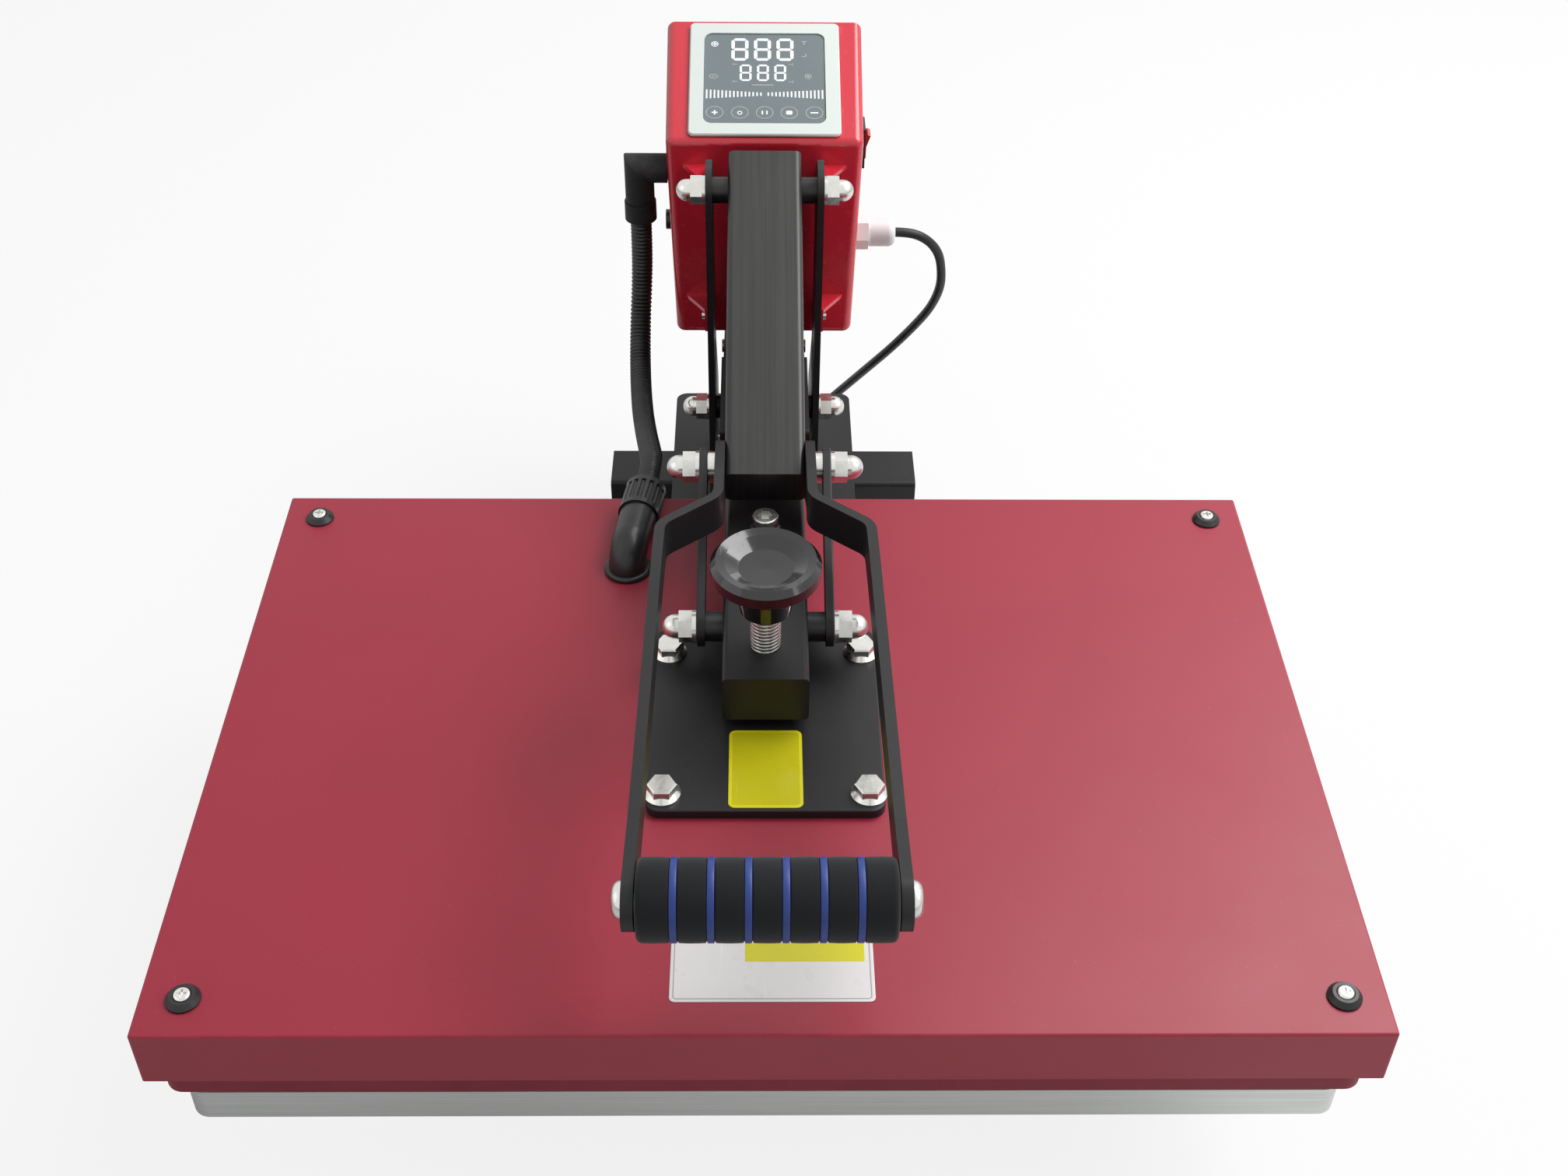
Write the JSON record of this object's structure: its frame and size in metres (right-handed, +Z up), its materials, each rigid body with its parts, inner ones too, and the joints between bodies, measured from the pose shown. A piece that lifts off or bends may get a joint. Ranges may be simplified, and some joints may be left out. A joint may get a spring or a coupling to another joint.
{
  "type": "flat heat press",
  "caption": "Clamshell flat heat press with a rectangular hot platen, toggle handle, pressure knob and a tilted digital control box.",
  "frame": {"origin": "middle of the press's overall footprint without its cord, on the table", "axes": "+X to the operator's right, +Y from the operator towards the control box, +Z up"},
  "size_m": [0.635, 0.7941, 0.3853],
  "materials": {
    "black_paint": "satin black powder coat",
    "grey_paint": "satin dark grey powder coat",
    "red_paint": "satin red powder coat",
    "zinc": "bright plated steel",
    "steel": "machined steel",
    "aluminium": "milled aluminium",
    "silicone": "soft silicone",
    "rubber": "matt black rubber",
    "foam": "closed cell foam",
    "blue_rubber": "blue rubber",
    "red_plastic": "moulded red plastic",
    "pale_plastic": "pale grey plastic",
    "display": "grey touch panel",
    "white_plastic": "white nylon",
    "black_plastic": "black plastic",
    "board": "circuit board",
    "blanket": "glass fibre blanket",
    "label": "plain label film"
  },
  "bodies": {
    "frame": {"spine_plate": "black_paint", "front_crossbar": "black_paint", "rear_crossbar": "black_paint", "rubber_feet": "rubber", "platen_beams": "black_paint", "lower_platen": "aluminium", "silicone_pad": "silicone", "uprights": "black_paint", "frame_pins": "steel", "frame_cap_nuts": "zinc", "frame_spacers": "black_plastic", "control_box": "red_plastic", "box_rear_cover": "red_plastic", "box_screws": "zinc", "display_bezel": "pale_plastic", "display_panel": "display", "control_board": "board", "switch_housing": "black_plastic", "fuse_holder": "black_plastic", "cable_gland": "white_plastic", "hose_elbow": "rubber", "corrugated_hose": "black_plastic", "power_cord": "rubber", "cord_coil": "rubber", "cord_tie": "rubber", "cord_plug": "rubber"},
    "rocker": {"switch_rocker": "red_plastic"},
    "arm": {"arm_tube": "black_paint", "arm_cheeks": "black_paint", "arm_pins": "steel", "link_cap_nuts": "zinc", "link_spacers": "black_plastic", "stop_screw": "zinc", "lift_springs": "steel"},
    "links": {"toggle_links": "black_paint", "knee_cap_nuts": "zinc"},
    "handle": {"handle_tube": "grey_paint", "fork_bars": "black_paint", "knee_bolt": "steel", "knee_washers": "zinc", "grip_rod": "steel", "foam_grip": "foam", "grip_rings": "blue_rubber", "grip_bolts": "zinc"},
    "platen": {"mounting_plate": "black_paint", "flange_bolts": "zinc", "top_cover": "red_paint", "heat_shield": "red_paint", "insulation_blanket": "blanket", "heating_plate": "aluminium", "heating_element": "steel", "temperature_probe": "steel", "standoff_posts": "steel", "corner_cup_washers": "black_plastic", "corner_screws": "zinc", "hose_connector": "black_plastic", "label_plates": "label"},
    "screw": {"pressure_screw": "steel", "pressure_knob": "black_plastic"}
  },
  "joints": [
    {"name": "arm_hinge", "type": "hinge", "parent": "frame", "child": "arm", "pos_m": [0, 0.23765, 0.14], "axis": [-1, 0, 0], "range_deg": [0, 42], "deforming": ["lift_springs", "corrugated_hose"]},
    {"name": "handle_hinge", "type": "hinge", "parent": "frame", "child": "handle", "pos_m": [0, 0.22065, 0.332], "axis": [-1, 0, 0], "range_deg": [0, 76.5]},
    {"name": "link_hinge", "type": "hinge", "parent": "arm", "child": "links", "pos_m": [0, -0.09835, 0.215], "axis": [-1, 0, 0], "range_deg": [-83, 0]},
    {"name": "platen_slide", "type": "slide", "parent": "arm", "child": "platen", "axis": [0, 0, 1], "range_m": [0, 0.003]},
    {"name": "screw_turn", "type": "hinge", "parent": "platen", "child": "screw", "pos_m": [0, -0.12935, 0.245], "axis": [0, 0, 1], "range_deg": [0, 434]},
    {"name": "switch_rock", "type": "hinge", "parent": "frame", "child": "rocker", "pos_m": [0.06902, 0.30065, 0.327], "axis": [0, 1, 0], "range_deg": [-20, 0]}
  ],
  "couplings": [
    {"joint": "handle_hinge", "follows": "arm_hinge", "ratio": 1.8112},
    {"joint": "link_hinge", "follows": "arm_hinge", "ratio": -1.9631},
    {"joint": "screw_turn", "follows": "platen_slide", "rad_per_m": 2513.3}
  ]
}
